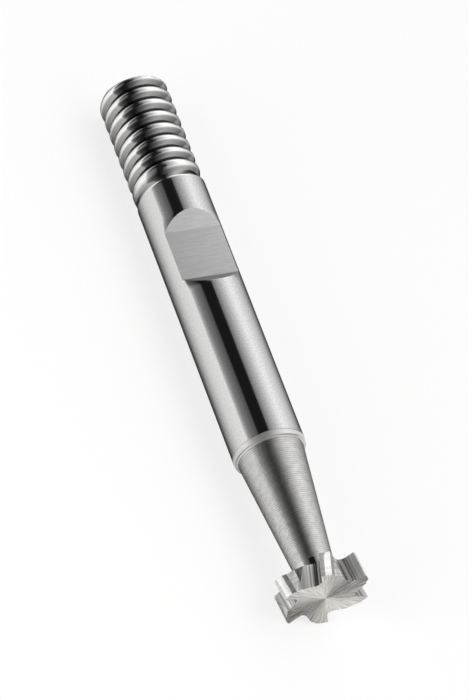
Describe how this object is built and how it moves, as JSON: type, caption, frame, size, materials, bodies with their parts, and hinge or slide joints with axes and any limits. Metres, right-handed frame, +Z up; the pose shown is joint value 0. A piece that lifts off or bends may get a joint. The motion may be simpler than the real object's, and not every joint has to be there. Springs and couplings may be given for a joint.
{
  "type": "woodruff keyseat cutter",
  "caption": "Small shank-type woodruff keyseat cutter with a thin staggered-tooth head, tapered neck, and a round shank with clamping flat and rounded end thread.",
  "frame": {"origin": "centre of the footprint on the table, where the cutter lies at rest", "axes": "+X along the shank from the cutting head to the threaded end (the axis dips about half a degree towards the thread), +Z up"},
  "size_m": [0.05, 0.0074, 0.007],
  "materials": {
    "tool_steel": "polished"
  },
  "bodies": {
    "root": {"keyseat_cutter": "tool_steel"}
  },
  "joints": []
}
